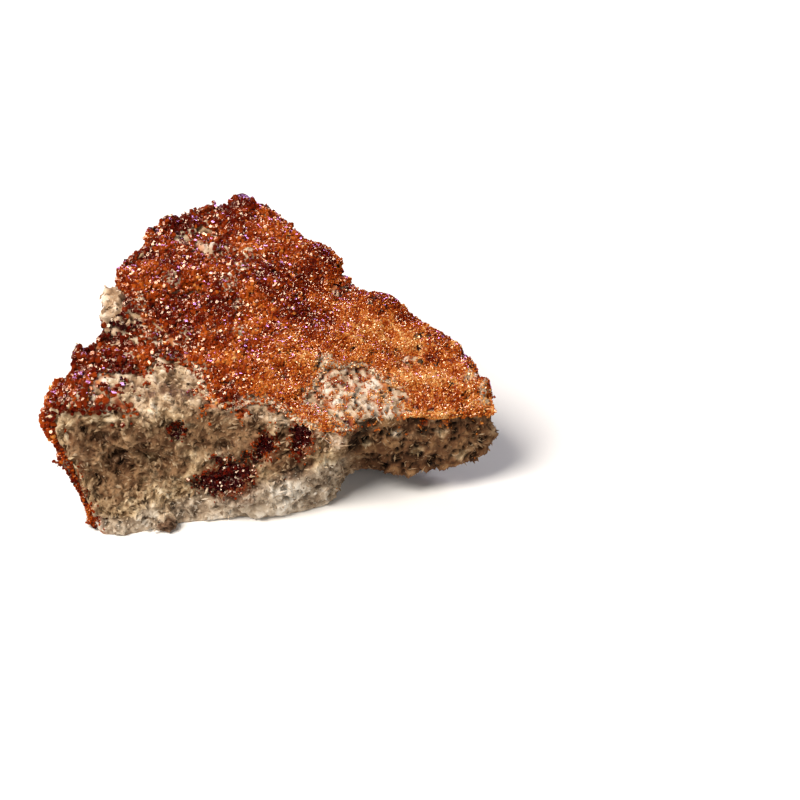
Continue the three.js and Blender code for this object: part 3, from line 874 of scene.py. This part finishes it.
def host_rock_material():
    """Vuggy carbonate rock, broken: cream flakes, brown with iron stain and with painted shade, black down
    in its pits.
    Its IOR is about 1.5, and its crumbly break scatters light, so it is dull with little gloss."""
    # Painted light pales the faces that look up, and painted shade browns the wing's steep sides.
    # The black in the pits, the hollows and on the pocket walls is painted shade as well.
    material, tree = new_material("broken carbonate rock")
    place = add(tree, "ShaderNodeTexCoord").outputs["Object"]
    height, painted_shade, stain_and_shade, dust, pale, foot = [
        add(tree, "ShaderNodeAttribute", attribute_name=name).outputs["Fac"]
        for name in ("height", "painted_shade", "stain_and_shade", "dust", "pale", "foot")]
    grain = add(tree, "ShaderNodeTexNoise", {
        "Vector": place, "Scale": 1 / (ROCK_GRAIN * MM), "Detail": 5.0, "Roughness": 0.7}).outputs["Fac"]
    clouds = add(tree, "ShaderNodeTexNoise", {
        "Vector": place, "Scale": 1 / (ROCK_CLOUDS * MM), "Detail": 3.0}).outputs["Fac"]
    level = clouds
    for pattern, weight in ((grain, GRAIN_WEIGHT), (height, RELIEF_WEIGHT)):
        weighed = {0: pattern, 1: weight, 2: level}
        level = add(tree, "ShaderNodeMath", weighed, operation="MULTIPLY_ADD").outputs[0]
    shade = add(tree, "ShaderNodeMapRange", {
        "Value": level, "From Min": 0.45, "From Max": 1.65}).outputs[0]
    cream, pale_and_lit, clean, stain_and_shade_brown, dusty = [
        add(tree, "ShaderNodeValToRGB", {"Fac": shade}, stops=tones).outputs["Color"]
        for tones in (CREAM_ROCK, PALE_AND_LIT_ROCK, CLEAN_ROCK, IRON_STAIN_AND_SHADE, RED_DUST)]
    colour = cream
    for share, layer in (
            (pale, pale_and_lit), (foot, clean), (stain_and_shade, stain_and_shade_brown), (dust, dusty), (painted_shade, linear(PIT_SHADE_COLOUR))):
        mixed = {"Factor": share, FIRST_COLOUR: colour, SECOND_COLOUR: layer}
        colour = add(tree, "ShaderNodeMix", mixed, data_type="RGBA").outputs[MIXED_COLOUR]
    bump = add(tree, "ShaderNodeBump", {
        "Height": grain, "Strength": 0.8, "Distance": ROCK_GRAIN_STEP * MM}).outputs[0]
    shader = add(tree, "ShaderNodeBsdfPrincipled", {
        "Base Color": colour, "Roughness": 0.8, "IOR": 1.5, "Specular IOR Level": 0.2,
        "Normal": bump}).outputs[0]
    add(tree, "ShaderNodeOutputMaterial", {"Surface": shader})
    return material


def crust_ground_material():
    """Skin of vanadinite crystals too small to model, so their facets are drawn: red and glinting, with
    pale rock through it in spots. It flashes less than the crystals, so its IOR is matched to 1.7."""
    material, tree = new_material("vanadinite skin on rock")
    place = add(tree, "ShaderNodeTexCoord").outputs["Object"]
    tone = add(tree, "ShaderNodeAttribute", attribute_name="tone").outputs["Fac"]
    pale = add(tree, "ShaderNodeAttribute", attribute_name="pale").outputs["Fac"]
    red = add(tree, "ShaderNodeValToRGB", {"Fac": tone}, stops=VANADINITE).outputs["Color"]
    grain = add(tree, "ShaderNodeTexNoise", {
        "Vector": place, "Scale": 1 / (BARE_GRAIN * MM), "Detail": 4.0, "Roughness": 0.7}).outputs["Fac"]
    bare = add(tree, "ShaderNodeValToRGB", {"Fac": grain}, stops=BARE_ROCK).outputs["Color"]
    mixed = {"Factor": pale, FIRST_COLOUR: red, SECOND_COLOUR: bare}
    colour = add(tree, "ShaderNodeMix", mixed, data_type="RGBA").outputs[MIXED_COLOUR]
    facet = add(tree, "ShaderNodeTexVoronoi", {
        "Vector": place, "Scale": 1 / (DUST_FACET * MM)}).outputs["Color"]
    tilt = add(tree, "ShaderNodeVectorMath", {
        0: facet, 1: (0.5, 0.5, 0.5)}, operation="SUBTRACT").outputs[0]
    facing = add(tree, "ShaderNodeNewGeometry").outputs["Normal"]
    tilted = add(tree, "ShaderNodeVectorMath", {
        0: tilt, 1: [DUST_FACET_TILT] * 3, 2: facing}, operation="MULTIPLY_ADD").outputs[0]
    normal = add(tree, "ShaderNodeVectorMath", {0: tilted}, operation="NORMALIZE").outputs[0]
    shader = add(tree, "ShaderNodeBsdfPrincipled", {
        "Base Color": colour, "Roughness": 0.3, "IOR": 1.7, "Specular Tint": linear(0xFFD2B4),
        "Normal": normal}).outputs[0]
    add(tree, "ShaderNodeOutputMaterial", {"Surface": shader})
    return material


def vanadinite_material():
    """Vanadinite: adamantine, so its smooth faces flash over a deep red body. Light that has gone a little
    way in comes back warm, so most flashes are peach, and growth steps on the faces split each flash.
    Its IOR is about 2.4, which flashes too much for these small, etched faces, and is matched to 1.9."""
    material, tree = new_material("vanadinite crystal")
    place = add(tree, "ShaderNodeTexCoord").outputs["Object"]
    tone = add(tree, "ShaderNodeAttribute", attribute_name="tone").outputs["Fac"]
    red = add(tree, "ShaderNodeValToRGB", {"Fac": tone}, stops=VANADINITE).outputs["Color"]
    steps = add(tree, "ShaderNodeTexNoise", {
        "Vector": place, "Scale": 1 / (GROWTH_STEP * MM), "Detail": 1.0}).outputs["Fac"]
    bump = add(tree, "ShaderNodeBump", {
        "Height": steps, "Strength": 0.5, "Distance": GROWTH_STEP_HEIGHT * MM}).outputs[0]
    shader = add(tree, "ShaderNodeBsdfPrincipled", {
        "Base Color": red, "Roughness": 0.07, "IOR": 1.9, "Specular Tint": linear(0xFFE6CA),
        "Normal": bump}).outputs[0]
    add(tree, "ShaderNodeOutputMaterial", {"Surface": shader})
    return material


def floor_material():
    """Matt white board, which takes a soft shadow and has no shine."""
    material, tree = new_material("matt white board")
    shader = add(tree, "ShaderNodeBsdfPrincipled", {
        "Base Color": linear(0xF4F3F1), "Roughness": 0.9}).outputs[0]
    add(tree, "ShaderNodeOutputMaterial", {"Surface": shader})
    return material


# Stage

def make_floor():
    """White floor, kept out of the crystals' gloss, which its reflection would grey."""
    reach = FLOOR_REACH
    plan = [(-reach, -reach, 0), (reach, -reach, 0), (reach, reach, 0), (-reach, reach, 0)]
    mesh = bpy.data.meshes.new("floor")
    mesh.from_pydata(plan, [], [(0, 1, 2, 3)])
    floor = link_object("floor", mesh)
    mesh.materials.append(floor_material())
    floor.visible_glossy = False


def make_camera():
    pixels = LENS_MM / SENSOR_MM * FRAME_PIXELS
    right = Vector((1, 0, 0))
    up = Vector((0, math.sin(CAMERA_ELEVATION), math.cos(CAMERA_ELEVATION)))
    back = Vector((0, -math.cos(CAMERA_ELEVATION), math.sin(CAMERA_ELEVATION)))
    data = bpy.data.cameras.new("camera")
    data.lens = LENS_MM
    data.sensor_width = SENSOR_MM
    camera = link_object("camera", data)
    aside = (FRAME_PIXELS / 2 - AIM_PIXEL[0]) * CAMERA_DISTANCE / pixels
    below = (FRAME_PIXELS / 2 - AIM_PIXEL[1]) * CAMERA_DISTANCE / pixels
    camera.location = AIM + CAMERA_DISTANCE * back + aside * right - below * up
    camera.rotation_euler = (math.pi / 2 - CAMERA_ELEVATION, 0, 0)
    bpy.context.scene.camera = camera


def make_light(name, towards, distance, side, power, colour, lights_surface=True, shows_in_gloss=True):
    """A square lamp in a direction from the specimen, which it faces."""
    data = bpy.data.lights.new(name, "AREA")
    data.size = side
    data.energy = power
    data.color = linear(colour)[:3]
    light = link_object(name, data)
    light.visible_diffuse = lights_surface
    light.visible_glossy = shows_in_gloss
    light.location = Vector(towards).normalized() * distance
    light.rotation_euler = (-light.location).to_track_quat("-Z", "Y").to_euler()


def make_lights():
    """A key at the left, a soft fill, a rim, and two lamps that only show as glints in the gloss."""
    make_light("key", (-0.45, -0.35, 0.82), distance=0.9, side=0.5, power=12.5, colour=0xFFF8F0)
    make_light("rim", (0.3, 0.7, 0.6), distance=0.9, side=0.22, power=2.4, colour=0xFFFFFF,
               shows_in_gloss=False)
    make_light("violet glints", (0.2, 0.75, 0.5), distance=0.8, side=0.24, power=6, colour=0xC8A0FF,
               lights_surface=False)
    make_light("warm glints", (-0.15, 0.35, 0.92), distance=0.8, side=0.22, power=4.5, colour=0xFFF6EA,
               lights_surface=False)
    make_light("fill", (0.35, -0.9, 0.35), distance=1.2, side=0.9, power=3.5, colour=0xFFFFFF,
               shows_in_gloss=False)


def make_world():
    """Dim white light from all round, which the gloss doesn't show either."""
    world = bpy.data.worlds.new("studio")
    bpy.context.scene.world = world
    world.use_nodes = True
    background = world.node_tree.nodes["Background"]
    background.inputs["Color"].default_value = linear(0xFFFFFF)
    background.inputs["Strength"].default_value = 0.1
    world.cycles_visibility.glossy = False


# Assembly

def finish_piece(piece, material, slot, *nodes):
    piece.data.materials.clear()
    piece.data.materials.append(material)
    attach(piece, "root")
    if nodes:
        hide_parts(*nodes)


rock_material = host_rock_material()
skin_material = crust_ground_material()
crystal_material = vanadinite_material()

solids = {name: node.data for name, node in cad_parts.items()}
crust_tree = tree_of(solids["vanadinite_druse"])
pocket_trees = [tree_of(solids[node]) for node in POCKETS]
rock, rock_places, rock_normals, to_crust, to_pocket = make_rock(crust_tree, pocket_trees)
sheet, is_open, bare = make_sheet(tree_of(solids["matrix"]), tree_of(rock.data))

sheet_places, sheet_normals = corners(sheet.data)
rock_seats = to_crust > CHIP_FROM_CRUST
sheet_seats = is_open & (bare > CHIP_BAREST)
chips = make_chips(np.concatenate([rock_places[rock_seats], sheet_places[sheet_seats]]),
                   np.concatenate([rock_normals[rock_seats], sheet_normals[sheet_seats]]))
finish_piece(rock, rock_material, "host_rock", "matrix")
finish_piece(chips, rock_material, "host_rock")

finish_piece(sheet, skin_material, "vanadinite", "vanadinite_druse")
for piece in make_crystals(sheet, is_open, bare):
    finish_piece(piece, crystal_material, "vanadinite")

strays = make_strays(rock_places, rock_normals, to_crust, to_pocket)
finish_piece(strays, crystal_material, "vanadinite")

for node in POCKETS:
    lining, crystals = make_pocket(node)
    finish_piece(lining, skin_material, "vanadinite", node)
    finish_piece(crystals, crystal_material, "vanadinite")

make_floor()
make_camera()
make_lights()
make_world()
bpy.context.scene.view_settings.view_transform = "Standard"
